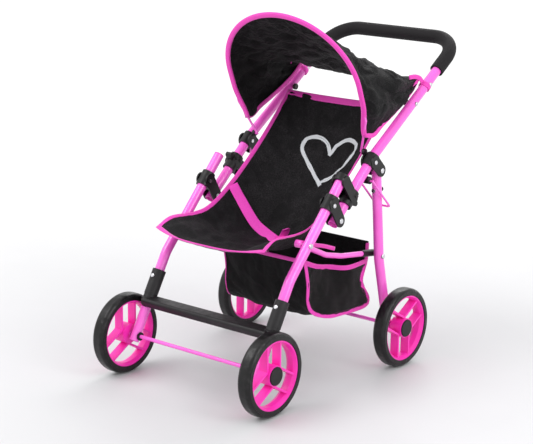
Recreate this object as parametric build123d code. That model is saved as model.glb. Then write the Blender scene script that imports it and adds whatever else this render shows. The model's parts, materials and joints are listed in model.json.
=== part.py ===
from build123d import *
import os
from math import atan2, cos, radians, sin, tan

# Folding toy pushchair for dolls. Millimetres, +Z up, the front towards -Y.
# The origin is on the floor, under the middle of the whole stroller. Side parts are drawn on the
# left (+X, as a seated doll has it) and mirrored to the right.

# Driving dimensions
WHEEL_R = 69.0            # outer radius of a tyre
TYRE_WIDTH = 24.6
RIM_R = 56.8              # seat of the tyre on the rim
HUB_R = 17.0
CAP_R = 15.2
AXLE_R = 3.3
RUN = 0.06                # radial clearance of everything that turns on a pin or an axle
TUBE_R = 8.5
TUBE_WALL = 1.2
FRAME_X = 133.5           # middle plane of each frame side
REAR_SPREAD_X = 145.0     # where the rear legs meet their axle
FRONT_WHEEL_X = 157.5
REAR_WHEEL_X = 174.0
SLEEVE_WALL = 3.2         # moulded sleeves round the tubes
SLOT_GAP = 0.4            # each side of a tube that turns between two cheeks
LINK_X = 118.0            # middle plane of the side links
LOCK_TRAVEL = 27.0        # the right lock stands raised, the left one is down
PIN_R = 2.5
SCREW_R = 2.0

# Side profile, as (y, z)
FRONT_AXLE = (-246.5, WHEEL_R)
REAR_AXLE = (90.0, WHEEL_R)
FRONT_KNEE = (-171.0, 200.0)
LEG_TOP = (-37.0, 346.0)
FOLD_PIVOT = (-53.0, 278.5)
HANDLE_BEND = (53.0, 373.0)
HANDLE_BAR = (303.5, 542.0)
REAR_PIVOT = (59.5, 344.8)
REAR_BEND = (76.3, 184.0)
LINK_FRONT = (-128.5, 250.5)
LINK_REAR = (72.0, 194.5)
CATCH_PIVOT = (29.0, 332.0)
CATCH_TIP = (83.0, 279.0)
CANOPY_PIVOT = (43.0, 376.0)
CANOPY_REAR = (192.0, 481.0)
BOW_TILT = 112.0          # angle of the canopy's front hoop from the +Y direction

LEFT_AND_RIGHT = ("left", "right")

parts = {}


# Small geometry helpers

def along(start, end, distance):
    """The point that far from start, towards end, in the side profile."""
    angle = atan2(end[1] - start[1], end[0] - start[0])
    return (start[0] + distance * cos(angle), start[1] + distance * sin(angle))


def mirrored(shape):
    return mirror(shape, about=Plane.YZ)


def both_sides(name, shape):
    """Store a left part, and its mirror image as the right part."""
    parts[f"left_{name}"] = shape
    parts[f"right_{name}"] = mirrored(shape)


def pair(name, shapes):
    """Store alike fasteners of both sides in one node, as a group of separate solids."""
    found = list(shapes) + [mirrored(shape) for shape in shapes]
    parts[name] = Compound(children=found)


def rod(start_x, end_x, at, radius):
    """A round bar along X."""
    length = abs(end_x - start_x)
    return Pos((start_x + end_x) / 2, *at) * Rot(0, 90, 0) * Cylinder(radius, length)


def plate(sketch, low_x, high_x):
    """A sketch of the side profile, as thick as from low_x to high_x."""
    return extrude(Plane.YZ.offset(low_x) * sketch, high_x - low_x)


def lobe(start, end, start_r, end_r):
    """The outline of two circles and their common tangents."""
    circles = (Pos(*start) * Circle(start_r)).edges() + (Pos(*end) * Circle(end_r)).edges()
    return make_hull(circles)


def swept(route, section):
    return sweep(Plane(origin=route @ 0, z_dir=route % 0) * section, path=route)


def bent_tube(points, bends, radius=TUBE_R, wall=TUBE_WALL):
    """A tube through points (x, y, z) with a bend radius for each corner."""
    route = FilletPolyline(*points, radius=bends)
    return swept(route, Circle(radius) - Circle(radius - wall))


def bar(start, end, x, radius):
    """A round bar between two points of the side profile, in the plane x."""
    route = Line((x, *start), (x, *end))
    return swept(route, Circle(radius))


def domed_pin(at, outer_x, inner_x, radius, head_r=4.6, head_h=2.2):
    """A rivet along X: a shank with a domed head at its outer end and a flat one inside."""
    away = 1 if outer_x > inner_x else -1
    shank = rod(inner_x, outer_x, at, radius)
    head = rod(outer_x, outer_x + away * head_h, at, head_r)
    rim = head.faces().sort_by(Axis.X)[-1 if away > 0 else 0].edges()
    return shank + fillet(rim, head_h * 0.7) + rod(inner_x - away * 1.2, inner_x, at, head_r * 0.8)


# Frame

SLEEVE_R = TUBE_R + SLEEVE_WALL
CHEEK_IN = TUBE_R + SLOT_GAP
OUTER_X = FRAME_X + SLEEVE_R
INNER_X = FRAME_X - SLEEVE_R
FOOTREST_LOW = along(FRONT_AXLE, FRONT_KNEE, 73)
FOOTREST_HIGH = along(FRONT_AXLE, FRONT_KNEE, 117)
FOOTREST_SCREW = along(FRONT_AXLE, FRONT_KNEE, 104)
FOOTREST_FACE = (FRONT_AXLE[1] - FRONT_KNEE[1], FRONT_KNEE[0] - FRONT_AXLE[0])   # square to the leg
LEG_SLEEVE_LOW = along(FRONT_KNEE, LEG_TOP, 134)
LEG_SLEEVE_HIGH = along(FRONT_KNEE, LEG_TOP, 161)
LEG_SCREW = along(FRONT_KNEE, LEG_TOP, 146)
HANDLE_END = along(FOLD_PIVOT, HANDLE_BEND, -10)
HANDLE_SLEEVE_LOW = along(HANDLE_BEND, FOLD_PIVOT, 28)
HANDLE_SLEEVE_HIGH = along(HANDLE_BEND, FOLD_PIVOT, 4.5)
HANDLE_SCREW = along(HANDLE_BEND, FOLD_PIVOT, 17)
HANDLE_BOLTS = (along(HANDLE_BEND, HANDLE_BAR, 129), along(HANDLE_BEND, HANDLE_BAR, 180))
REAR_TOP = along(REAR_PIVOT, REAR_BEND, -9)
REAR_BOLT = along(REAR_BEND, REAR_PIVOT, 8)
KNOB = along(REAR_BEND, REAR_PIVOT, 126)
BUSH_R = 5.2


def make_front_legs():
    foot = along(FRONT_AXLE, FRONT_KNEE, -10)
    points = [(FRAME_X, *foot), (FRAME_X, *FRONT_KNEE), (FRAME_X, *LEG_TOP)]
    leg = bent_tube(points, [60])
    leg -= rod(INNER_X, OUTER_X, FRONT_AXLE, BUSH_R)
    leg -= rod(INNER_X, OUTER_X, LINK_FRONT, PIN_R)
    leg -= rod(INNER_X, OUTER_X, LEG_SCREW, SCREW_R)
    leg -= faced_screw(FOOTREST_SCREW, FOOTREST_FACE)
    both_sides("front_leg", leg)
    plug = bar(along(LEG_TOP, FRONT_KNEE, 8), along(LEG_TOP, FRONT_KNEE, -0.01), FRAME_X,
               TUBE_R - TUBE_WALL)
    cap = bar(LEG_TOP, along(LEG_TOP, FRONT_KNEE, -1.5), FRAME_X, TUBE_R)
    pair("leg_top_plugs", [plug + cap])


def faced_screw(at, direction, head_r=3.6):
    """A screw from the axis of a tube at a point of the profile, with its head on a sleeve round it."""
    place = Plane(origin=(FRAME_X, *at), z_dir=(0, *direction))
    shank = place * Pos(0, 0, SLEEVE_R / 2 + 2) * Cylinder(SCREW_R, SLEEVE_R - 4)
    head = place * Pos(0, 0, SLEEVE_R + 0.9) * Cylinder(head_r, 1.8)
    return shank + fillet(head.faces().sort_by(Axis.Y)[0].edges(), 1.2)


def make_footrest():
    """One moulding: a tread bar with a slanted front and a sleeve round each front leg."""
    sleeve = bar(FOOTREST_LOW, FOOTREST_HIGH, FRAME_X, SLEEVE_R)
    collar = bar(along(FRONT_AXLE, FRONT_KNEE, 56), FOOTREST_LOW, FRAME_X, SLEEVE_R - 0.6)
    tread_y, tread_z = FOOTREST_LOW[0] - 10, FOOTREST_LOW[1] - 9
    depth, height, slant = 33, 15, 7
    front, rear = tread_y - depth / 2, tread_y + depth / 2
    low, high = tread_z - height / 2, tread_z + height / 2
    outline = make_face(Polyline((front, high), (rear, high), (rear, low), (front + slant, low), close=True))
    tread = plate(outline, -FRAME_X, FRAME_X)
    tread = fillet(tread.edges().filter_by(Axis.X), 4.5)
    ends = Pos(FRAME_X, tread_y + 3, tread_z) * Cylinder(SLEEVE_R - 0.4, height + 2)
    end = sleeve + collar + fillet(ends.edges(), 4)
    body = tread + end + mirrored(end)
    tube_space = bar(along(FRONT_AXLE, FRONT_KNEE, 20), FRONT_KNEE, FRAME_X, TUBE_R)
    screw = faced_screw(FOOTREST_SCREW, FOOTREST_FACE)
    for space in (tube_space, screw):
        body -= space + mirrored(space)
    parts["footrest"] = body
    pair("footrest_screws", [screw])


def make_axle(name, axle, leg_x, wheel_x):
    """A rod from wheel to wheel, held in a bush in each leg."""
    parts[f"{name}_axle"] = rod(-wheel_x - 7, wheel_x + 7, axle, AXLE_R)
    bush = rod(leg_x - TUBE_R - 1.5, leg_x + TUBE_R - 0.2, axle, BUSH_R)
    inner_flange = rod(leg_x - TUBE_R - 3, leg_x - TUBE_R - 1, axle, BUSH_R + 2)
    hole = rod(leg_x - 30, leg_x + 30, axle, AXLE_R)
    pair(f"{name}_axle_bushes", [bush + inner_flange - hole])


def clamp_bracket(low, high, at, pivot):
    """A sleeve round one tube with two cheeks that carry the pivot of another tube."""
    middle = ((low[0] + high[0]) / 2, (low[1] + high[1]) / 2)
    body = bar(low, high, FRAME_X, SLEEVE_R)
    outline = lobe(middle, pivot, SLEEVE_R - 0.5, 10.5)
    body += plate(outline, INNER_X, FRAME_X - CHEEK_IN)
    body += plate(outline, FRAME_X + CHEEK_IN, OUTER_X)
    body -= bar(along(low, high, -30), along(high, low, -30), FRAME_X, TUBE_R)
    body -= rod(INNER_X - 1, OUTER_X + 1, pivot, PIN_R)
    body -= rod(INNER_X - 1, OUTER_X + 1, at, SCREW_R)
    return body


def make_leg_brackets():
    both_sides("leg_bracket", clamp_bracket(LEG_SLEEVE_LOW, LEG_SLEEVE_HIGH, LEG_SCREW, FOLD_PIVOT))
    pair("leg_bracket_screws", [domed_pin(LEG_SCREW, OUTER_X, INNER_X, SCREW_R, 3.8)])
    pair("fold_pivot_pins", [domed_pin(FOLD_PIVOT, OUTER_X, INNER_X, PIN_R)])


def handle_route():
    left = [(FRAME_X, *HANDLE_END), (FRAME_X, *HANDLE_BEND), (FRAME_X, *HANDLE_BAR)]
    right = [(-x, y, z) for x, y, z in reversed(left)]
    return FilletPolyline(*left, *right, radius=[60, 52, 52, 60])


def make_handle():
    tube = swept(handle_route(), Circle(TUBE_R) - Circle(TUBE_R - TUBE_WALL))
    for side in (1, -1):
        outer, inner = side * OUTER_X, side * INNER_X
        tube -= rod(inner, outer, FOLD_PIVOT, PIN_R + RUN)
        tube -= rod(inner, outer, HANDLE_SCREW, SCREW_R)
        for at in HANDLE_BOLTS:
            tube -= rod(inner, outer, at, SCREW_R)
    parts["handle_tube"] = tube
    bolts = [domed_pin(at, FRAME_X + TUBE_R, FRAME_X - TUBE_R, SCREW_R, 3.8) for at in HANDLE_BOLTS]
    pair("handle_bolts", bolts)


def make_handle_grip():
    """A foam sleeve round the crossbar and down both sides of the handle."""
    start = along(HANDLE_BAR, HANDLE_BEND, 86)
    left = [(FRAME_X, *start), (FRAME_X, *HANDLE_BAR)]
    right = [(-x, y, z) for x, y, z in reversed(left)]
    route = FilletPolyline(*left, *right, radius=[52, 52])
    parts["handle_grip"] = swept(route, Circle(12.2) - Circle(TUBE_R))


def make_handle_brackets():
    bracket = clamp_bracket(HANDLE_SLEEVE_LOW, HANDLE_SLEEVE_HIGH, HANDLE_SCREW, REAR_PIVOT)
    both_sides("handle_bracket", bracket)
    pair("handle_bracket_screws", [domed_pin(HANDLE_SCREW, OUTER_X, INNER_X, SCREW_R, 3.8)])
    pair("rear_pivot_pins", [domed_pin(REAR_PIVOT, OUTER_X, INNER_X, PIN_R)])


def make_rear_legs():
    foot_x = REAR_SPREAD_X + (REAR_SPREAD_X - FRAME_X) * 10 / 123
    foot = along(REAR_AXLE, REAR_BEND, -10)
    points = [(FRAME_X, *REAR_TOP), (FRAME_X, *REAR_BEND), (foot_x, *foot)]
    leg = bent_tube(points, [120])
    leg -= rod(REAR_SPREAD_X - 20, REAR_SPREAD_X + 20, REAR_AXLE, BUSH_R)
    leg -= rod(INNER_X, OUTER_X, REAR_PIVOT, PIN_R + RUN)
    leg -= rod(INNER_X, OUTER_X, REAR_BOLT, PIN_R)
    both_sides("rear_leg", leg)
    bolt = domed_pin(REAR_BOLT, FRAME_X + TUBE_R, FRAME_X - 3, PIN_R, 4.4)
    pair("rear_link_bolts", [bolt])


def make_catch_knobs():
    """Round knobs behind the rear legs, which the fold catch hooks under, each on a bolt."""
    y, z = KNOB
    turn = Rot(90, 0, 0)
    bolt = Pos(FRAME_X, y, z) * turn * Cylinder(SCREW_R, 2 * TUBE_R + 3)
    bolt += Pos(FRAME_X, y - TUBE_R - 1.5, z) * turn * Cylinder(3.6, 1.6)
    hole = Pos(FRAME_X, y, z) * turn * Cylinder(SCREW_R, 4 * TUBE_R)
    for side in LEFT_AND_RIGHT:
        parts[f"{side}_rear_leg"] -= hole if side == "left" else mirrored(hole)
    base = y + TUBE_R + 0.8
    stem = Pos(FRAME_X, base + 1.1, z) * turn * Cylinder(2.8, 2.2)
    head = Pos(FRAME_X, base + 3.4, z) * turn * Cylinder(4.2, 2.8)
    pair("catch_knobs", [fillet(head.edges(), 1.2) + stem - bolt])
    pair("catch_knob_bolts", [bolt])


# Wheels

def make_rim(turn):
    """A rim with three bent webs round the hub, drawn about the X axis."""
    inner_r, flare, width = 51.5, 2.9, 21
    turned = Rot(0, 90, 0)
    rim = turned * (Cylinder(RIM_R, width) - Cylinder(inner_r, width))
    for side in (1, -1):
        low, high = (inner_r, inner_r + flare)[::side]
        rim -= turned * Pos(0, 0, 7.6 * side) * Cone(low, high, 5.8)
    wall, reach, offset = 3.4, inner_r + 1.1, 15.6
    webs = Sketch()
    for angle in (0, 120, 240):
        for side in (1, -1):
            start = offset / tan(radians(60)) - wall / 2
            length = reach - start
            rib = Pos(start + length / 2, side * offset) * Rectangle(length, wall)
            webs += Rot(0, 0, angle + turn) * rib
    rim += plate(webs, -8, 8)
    rim += turned * Cylinder(HUB_R, 23)
    rim -= Pos(11.5, 0, 0) * turned * Cylinder(CAP_R, 7)
    rim -= turned * Cylinder(AXLE_R + RUN, 40)
    return rim


def make_tyre():
    thick = WHEEL_R - RIM_R
    section = Pos(0, RIM_R + thick / 2) * RectangleRounded(TYRE_WIDTH, thick, 1.2)
    tread = Pos(0, WHEEL_R - 8) * RectangleRounded(TYRE_WIDTH, 16, 7.5)
    section = section & (tread + Pos(0, RIM_R + 3) * Rectangle(TYRE_WIDTH, 9))
    return revolve(Plane.XY * section, Axis.X)


def make_wheel(name, side, wheel_x, axle, turn):
    place = Pos(wheel_x, *axle)
    rim, tyre = place * make_rim(turn), place * make_tyre()
    cap = Pos(11.0, 0, 0) * Rot(0, 90, 0) * Cylinder(CAP_R, 5.9)
    cap = place * fillet(cap.faces().sort_by(Axis.X)[-1].edges(), 1.4)
    for piece, shape in (("rim", rim), ("tyre", tyre), ("hub_cap", cap)):
        parts[f"{side}_{name}_{piece}"] = mirrored(shape) if side == "right" else shape


# Links, lock and catch

def make_links():
    """Side links from the front legs to the rear legs. Each turns on a pin in the front leg."""
    dip = (-56.0, 217.0)
    rise = (-14.0, 206.5)
    sleeve_front = along(LINK_REAR, rise, 26)
    points = [(LINK_X, *LINK_FRONT), (LINK_X, *dip), (LINK_X, *rise), (LINK_X, *LINK_REAR)]
    route = FilletPolyline(*points, radius=[40, 60])
    link = swept(route, Circle(4.6) - Circle(3.6))
    eye = rod(LINK_X - 5, FRAME_X - TUBE_R - 0.5, LINK_FRONT, 6.5)
    link = link - rod(LINK_X - 7, LINK_X + 8, LINK_FRONT, 6.4) + eye
    link -= rod(LINK_X - 10, FRAME_X, LINK_FRONT, PIN_R + RUN)
    both_sides("side_link", link)
    pin = domed_pin(LINK_FRONT, FRAME_X + TUBE_R, LINK_X - 5.6, PIN_R, 4.4)
    pair("link_pins", [pin])
    cap = bar(sleeve_front, along(LINK_REAR, rise, -7), LINK_X, 6.1)
    cap -= bar(along(sleeve_front, LINK_REAR, -20), LINK_REAR, LINK_X, 4.6)
    pair("link_end_caps", [cap])


def make_lock(raised, turned=0):
    """A sliding lock on the handle. When it is down, its open ring caps the top of the front leg.

    It is drawn down, then raised along the handle and turned round it, in degrees.
    """
    low, high = along(FOLD_PIVOT, HANDLE_BEND, 31), along(FOLD_PIVOT, HANDLE_BEND, 61)
    body = bar(low, high, FRAME_X, TUBE_R + 3.6)
    body += bar(along(low, high, 20), along(low, high, 26), FRAME_X, TUBE_R + 5)
    middle = along(FOLD_PIVOT, HANDLE_BEND, 48)
    stub = along(LEG_TOP, FRONT_KNEE, 5)
    arm = lobe(middle, stub, 9, 9.5)
    gap, wall = TUBE_R + SLOT_GAP, 3.4
    body += plate(arm, FRAME_X - gap - wall, FRAME_X - gap)
    body += plate(arm, FRAME_X + gap, FRAME_X + gap + wall)
    body += bar(along(LEG_TOP, FRONT_KNEE, -2), along(LEG_TOP, FRONT_KNEE, -4.6), FRAME_X, gap + wall)
    thumb = lobe(middle, (middle[0] + 13, middle[1] - 12), 7, 4.5)
    body += plate(thumb, FRAME_X - 6, FRAME_X + 6)
    body -= bar(along(low, high, -9), along(high, low, -9), FRAME_X, TUBE_R + 0.25)
    axis = Axis((FRAME_X, *FOLD_PIVOT), (0, HANDLE_BEND[0] - FOLD_PIVOT[0], HANDLE_BEND[1] - FOLD_PIVOT[1]))
    body = body.rotate(axis, turned)
    up = along((0, 0), (axis.direction.Y, axis.direction.Z), raised)
    return Pos(0, *up) * body


def make_fold_catch():
    """A wire loop hung under the left handle tube, with its far end behind the rear leg."""
    arm, wire_r = 14.4, 1.8
    far, near = FRAME_X + arm, FRAME_X - arm
    points = [(near, *CATCH_PIVOT), (near, *CATCH_TIP), (far, *CATCH_TIP), (far, *CATCH_PIVOT)]
    loop = swept(FilletPolyline(*points, radius=[5, 5]), Circle(wire_r))
    loop += rod(near - wire_r, far + wire_r, CATCH_PIVOT, wire_r)
    parts["fold_catch"] = loop
    top = along(CATCH_PIVOT, (CATCH_PIVOT[0] - 6, CATCH_PIVOT[1] + 7), 3)
    clip = plate(lobe(CATCH_PIVOT, top, 5.5, 5.5), FRAME_X - 10, FRAME_X + 10)
    clip -= bar(HANDLE_END, HANDLE_BEND, FRAME_X, TUBE_R)
    clip -= rod(near, far, CATCH_PIVOT, wire_r + RUN)
    parts["catch_clip"] = clip


# Canopy

HOOD_HALF = 142.0
HOOD_LOW = 28.0           # the cloth starts this far up the hoop
HOOD_SHOULDER = 122.0     # where the hoop's crown starts
HOOD_TOP = 247.0
HOOD_REAR_HALF = 122.0


def bow_plane(origin):
    """The plane of the front hoop, through origin, with X across and Y up along the hoop."""
    tilt = radians(BOW_TILT)
    normal = (0, sin(tilt), -cos(tilt))
    return Plane(origin=(0, *origin), x_dir=(-1, 0, 0), z_dir=normal)


def hoop_face(half_width, low, shoulder, top):
    """Straight sides from low to shoulder under half an ellipse."""
    right, left = (half_width, shoulder), (-half_width, shoulder)
    sides = Polyline(right, (half_width, low), (-half_width, low), left)
    crown = EllipticalCenterArc((0, shoulder), half_width, top - shoulder, start_angle=0, arc_size=180)
    return make_face(sides + crown)


def canopy_solid(inset, low):
    """The hood as a solid from its front hoop to its straight rear edge."""
    front = hoop_face(HOOD_HALF - inset, low, HOOD_SHOULDER, HOOD_TOP - inset)
    rear = hoop_face(HOOD_REAR_HALF - inset, low - HOOD_LOW, 4, 16 - inset)
    return loft([bow_plane(CANOPY_PIVOT) * front, bow_plane(CANOPY_REAR) * rear], ruled=True)


def make_canopy():
    parts["canopy_fabric"] = canopy_solid(0, HOOD_LOW) - canopy_solid(2.6, -20)
    wire_r = 2.0
    foot_x, elbow_y = 112.6, 62
    side_x, top = HOOD_HALF - 5, HOOD_TOP - 6.5
    hoop = bow_plane(CANOPY_PIVOT)
    elbow, shoulder = (side_x, elbow_y), (side_x, HOOD_SHOULDER)
    side = Line((foot_x, 0), elbow) + Line(elbow, shoulder)
    crown = EllipticalCenterArc((0, HOOD_SHOULDER), side_x, top - HOOD_SHOULDER, start_angle=0, arc_size=180)
    bow = swept(hoop * crown.edges()[0], Circle(wire_r))
    for edge in side.edges():
        leg = swept(hoop * edge, Circle(wire_r))
        bow += leg + mirrored(leg)
    joint = hoop * Pos(*elbow) * Sphere(wire_r) + hoop * Pos(foot_x, 0) * Sphere(wire_r)
    joint += rod(foot_x, INNER_X - 0.3, CANOPY_PIVOT, wire_r)
    parts["canopy_bow"] = bow + joint + mirrored(joint)
    boss = rod(foot_x + 4.6, INNER_X, CANOPY_PIVOT, 5.5)
    boss -= rod(foot_x, INNER_X - 0.2, CANOPY_PIVOT, wire_r + RUN)
    pair("canopy_clips", [boss])
    knob = rod(FRAME_X - TUBE_R - 7, FRAME_X - TUBE_R - 1.4, HANDLE_BOLTS[0], 5.6)
    pair("canopy_knobs", [fillet(knob.edges(), 1.2)])


# Seat and basket

SEAT_HALF = 109.0
CLOTH = 3.5


def folded_sheet(points, half_width):
    """A cloth of even thickness along a line of the side profile."""
    line = Polyline(*points)
    return plate(trace(line, line_width=CLOTH), -half_width, half_width)


def make_seat():
    parts["seat_pan"] = folded_sheet([(-232, 251), (-140, 231), (-60, 219), (-20, 214)], SEAT_HALF)
    back_low, back_top = (-30, 224), (122, 440)
    parts["backrest"] = folded_sheet([back_low, back_top], SEAT_HALF)
    strap_wide, strap_thick = 20, 1.6
    lift = CLOTH / 2 + strap_thick / 2 + 0.3
    back_line = (back_top[0] - back_low[0], back_top[1] - back_low[1])
    out_y, out_z = along((0, 0), (-back_line[1], back_line[0]), lift)
    ends = [along(back_low, back_top, distance) for distance in (6, 96)]
    line = Polyline(*[(y + out_y, z + out_z) for y, z in ends])
    parts["harness_strap"] = plate(trace(line, line_width=strap_thick), -strap_wide, 0)
    buckle = Pos(14, -84, 229.6) * Box(26, 22, 7)
    parts["buckle"] = fillet(buckle.edges().filter_by(Axis.Z), 3)


def make_basket():
    """A bag between the front and the rear legs, open at the top, its rear wall the highest."""
    half, wall = 106, 3
    top = [(84, 180), (-27, 184), (-97, 205)]
    bottom = [(-87, 126), (-63, 109), (23, 94), (92, 97)]
    outer = make_face(Polyline(*bottom, *top, close=True))
    raised_top = [(y + (wall if y < 0 else -wall), z + 8) for y, z in top]
    inner = make_face(Polyline((-84, 128), (-62, 112), (23, 97), (89, 100), *raised_top, close=True))
    rear = make_face(Polyline((81, 178), (84, 178), (82, 210), (79, 210), close=True))
    body = plate(outer, -half, half) - plate(inner, wall - half, half - wall)
    parts["basket"] = body + plate(rear, -half, half)


def main():
    make_front_legs()
    make_footrest()
    make_axle("front", FRONT_AXLE, FRAME_X, FRONT_WHEEL_X)
    make_axle("rear", REAR_AXLE, REAR_SPREAD_X, REAR_WHEEL_X)
    make_leg_brackets()
    make_handle()
    make_handle_grip()
    make_handle_brackets()
    make_rear_legs()
    make_catch_knobs()
    for side in LEFT_AND_RIGHT:
        make_wheel("front", side, FRONT_WHEEL_X, FRONT_AXLE, 90)
        make_wheel("rear", side, REAR_WHEEL_X, REAR_AXLE, 270)
    make_links()
    parts["left_fold_lock"] = make_lock(0)
    parts["right_fold_lock"] = mirrored(make_lock(LOCK_TRAVEL, 180))
    make_fold_catch()
    make_canopy()
    make_seat()
    make_basket()
    for name, shape in parts.items():
        export_step(shape, f"parts/{name}.step")


os.makedirs("parts", exist_ok=True)
main()
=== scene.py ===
"""A doll stroller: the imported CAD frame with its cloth, foam, paint and plastic. Metres."""
import json
import math

import bpy
import numpy as np
from mathutils import Matrix, Vector, noise


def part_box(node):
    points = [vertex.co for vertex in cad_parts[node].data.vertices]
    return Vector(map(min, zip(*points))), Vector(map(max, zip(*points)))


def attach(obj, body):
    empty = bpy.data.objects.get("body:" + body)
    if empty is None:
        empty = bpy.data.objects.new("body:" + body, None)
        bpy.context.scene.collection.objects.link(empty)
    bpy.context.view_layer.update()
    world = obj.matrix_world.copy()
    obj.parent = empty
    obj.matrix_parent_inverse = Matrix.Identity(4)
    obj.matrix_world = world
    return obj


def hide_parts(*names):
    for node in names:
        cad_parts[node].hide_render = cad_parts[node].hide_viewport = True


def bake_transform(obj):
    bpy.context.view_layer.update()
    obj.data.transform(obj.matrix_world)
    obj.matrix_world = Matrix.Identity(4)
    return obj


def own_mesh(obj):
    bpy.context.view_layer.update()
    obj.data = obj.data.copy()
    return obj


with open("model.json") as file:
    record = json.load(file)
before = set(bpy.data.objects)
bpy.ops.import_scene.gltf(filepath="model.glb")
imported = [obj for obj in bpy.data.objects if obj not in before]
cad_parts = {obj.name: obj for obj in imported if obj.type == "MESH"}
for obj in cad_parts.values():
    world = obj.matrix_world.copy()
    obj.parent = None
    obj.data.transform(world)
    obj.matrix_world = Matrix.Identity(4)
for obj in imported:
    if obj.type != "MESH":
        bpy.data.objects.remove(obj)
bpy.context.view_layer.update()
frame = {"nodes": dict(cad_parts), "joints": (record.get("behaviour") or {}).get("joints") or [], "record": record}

# Places that come from the frame
joints = {joint["name"]: joint for joint in frame["joints"]}
FOLD = Vector(joints["fold"]["pos_m"])
CANOPY = Vector(joints["canopy_fold"]["pos_m"])
HANDLE_DIR = Vector(joints["left_lock_slide"]["axis"]).normalized()
LEG_LOW, LEG_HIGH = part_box("left_front_leg")
FRAME_X = (LEG_LOW.x + LEG_HIGH.x) / 2
TUBE_R = (LEG_HIGH.x - LEG_LOW.x) / 2
SEAT_LOW, SEAT_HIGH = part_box("seat_pan")
BACK_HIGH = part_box("backrest")[1]
HOOD_LOW, HOOD_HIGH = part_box("canopy_fabric")
BASKET_LOW, BASKET_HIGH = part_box("basket")
MM = 0.001
SCREW_HEAD = 3.8 * MM      # the radius of a handle bolt's head

# Cloth and tape
CLOTH_THICK = 1.2 * MM
CLOTH_STIFFNESS = 12.0
CLOTH_FRAMES = 16          # how long the cloth hangs before its shape is kept
STRIP_SIDES = 16           # sides of a tape's rounded section
PRINT_WIDE = 7 * MM        # the width of a brush stroke in its UV map


# Small helpers

def smooth(value):
    """0 below 0, 1 above 1, and an even ease in between."""
    value = min(1.0, max(0.0, value))
    return value * value * (3 - 2 * value)


def curve_points(knots, count):
    """count points, evenly spaced, on a smooth curve through the knots."""
    knots = [Vector(k) for k in knots]
    ends = [2 * knots[0] - knots[1]] + knots + [2 * knots[-1] - knots[-2]]
    dense = []
    for i in range(len(knots) - 1):
        a, b, c, d = ends[i:i + 4]
        for step in range(24):
            t = step / 24
            dense.append(0.5 * ((2 * b) + (c - a) * t + (2 * a - 5 * b + 4 * c - d) * t * t
                                + (3 * b - a - 3 * c + d) * t ** 3))
    dense.append(knots[-1])
    return resampled(dense, count)


def resampled(points, count):
    """count points, evenly spaced along a polyline."""
    points = np.array([tuple(p) for p in points])
    steps = np.linalg.norm(np.diff(points, axis=0), axis=1)
    length = np.concatenate([[0], np.cumsum(steps)])
    wanted = np.linspace(0, length[-1], count)
    columns = [np.interp(wanted, length, points[:, i]) for i in range(3)]
    return [Vector(p) for p in np.array(columns).T]


def path_length(points):
    return sum((b - a).length for a, b in zip(points, points[1:]))


def new_object(name, points, faces, material, uvs=None):
    """A smooth-shaded mesh. uvs holds one pair for each point."""
    mesh = bpy.data.meshes.new(name)
    mesh.from_pydata([tuple(p) for p in points], [], faces)
    if uvs is not None:
        layer = mesh.uv_layers.new(name="UVMap")
        for loop in mesh.loops:
            layer.data[loop.index].uv = uvs[loop.vertex_index]
    mesh.materials.append(material)
    for face in mesh.polygons:
        face.use_smooth = True
    obj = bpy.data.objects.new(name, mesh)
    bpy.context.scene.collection.objects.link(obj)
    return obj


def grid_faces(rows, columns, closed=False):
    faces = []
    for i in range(rows - 1):
        for j in range(columns if closed else columns - 1):
            k = (j + 1) % columns
            faces.append((i * columns + j, i * columns + k, (i + 1) * columns + k, (i + 1) * columns + j))
    return faces


def grid_uvs(rows):
    """UV in metres: u along each row, v from row to row down the middle."""
    uvs, v, middle = [], 0.0, len(rows[0]) // 2
    for i, row in enumerate(rows):
        if i:
            v += (row[middle] - rows[i - 1][middle]).length
        u = 0.0
        for j, point in enumerate(row):
            if j:
                u += (point - row[j - 1]).length
            uvs.append((u, v))
    return uvs


def cloth_grid(name, rows, material):
    """A sheet through rows of points."""
    points = [p for row in rows for p in row]
    return new_object(name, points, grid_faces(len(rows), len(rows[0])), material, grid_uvs(rows))


def settle(obj, pinned, slack, gravity, cap):
    """Let the cloth of obj hang from its pinned points, then keep the shape. cap limits the travel."""
    group = obj.vertex_groups.new(name="pin")
    group.add([i for i in range(len(obj.data.vertices)) if pinned(i)], 1.0, "REPLACE")
    start = np.array([v.co[:] for v in obj.data.vertices])
    cloth = obj.modifiers.new("cloth", "CLOTH")
    settings = cloth.settings
    settings.quality = 6
    settings.mass = 0.15
    settings.tension_stiffness = CLOTH_STIFFNESS
    settings.compression_stiffness = CLOTH_STIFFNESS
    settings.shear_stiffness = CLOTH_STIFFNESS / 2
    settings.bending_stiffness = 0.4
    settings.shrink_min = -slack
    settings.vertex_group_mass = "pin"
    settings.effector_weights.gravity = gravity
    cloth.point_cache.frame_end = CLOTH_FRAMES
    scene = bpy.context.scene
    for number in range(1, CLOTH_FRAMES + 1):
        scene.frame_set(number)
    shaped = obj.evaluated_get(bpy.context.evaluated_depsgraph_get()).to_mesh()
    moved = np.array([v.co[:] for v in shaped.vertices]) - start
    obj.modifiers.remove(cloth)
    travel = np.linalg.norm(moved, axis=1, keepdims=True)
    moved *= cap * np.tanh(travel / cap) / np.maximum(travel, 1e-9)
    for vertex, place in zip(obj.data.vertices, start + moved):
        vertex.co = place
    scene.frame_set(1)


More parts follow.
